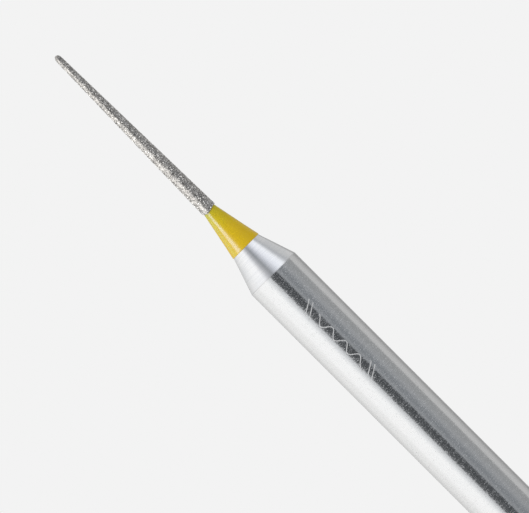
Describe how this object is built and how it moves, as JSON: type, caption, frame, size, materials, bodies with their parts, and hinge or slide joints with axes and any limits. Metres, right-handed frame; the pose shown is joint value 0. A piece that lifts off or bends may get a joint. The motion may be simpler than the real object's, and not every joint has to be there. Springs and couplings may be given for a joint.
{
  "type": "dental bur",
  "caption": "Friction-grip dental bur with a round steel shank, stepped cones, a yellow lacquer band and a slim tapering needle coated with fine diamond grit.",
  "frame": {"origin": "centre of the shank's flat rear end", "axes": "+Z along the tool's axis, from the shank's rear end to the needle's tip. The part is round about Z, and -Y is the side that the picture shows."},
  "size_m": [0.0016, 0.0016, 0.0202],
  "materials": {
    "shank_steel": "finely ground and polished, nearly a mirror, with faint turning marks on the cones",
    "yellow_lacquer": "thin glossy lacquer",
    "diamond_grit": "fine sparkling grit, half sunk in matt nickel plating"
  },
  "bodies": {
    "root": {"steel_blank": "shank_steel", "colour_band": "yellow_lacquer", "diamond_coat": "diamond_grit"}
  },
  "joints": []
}
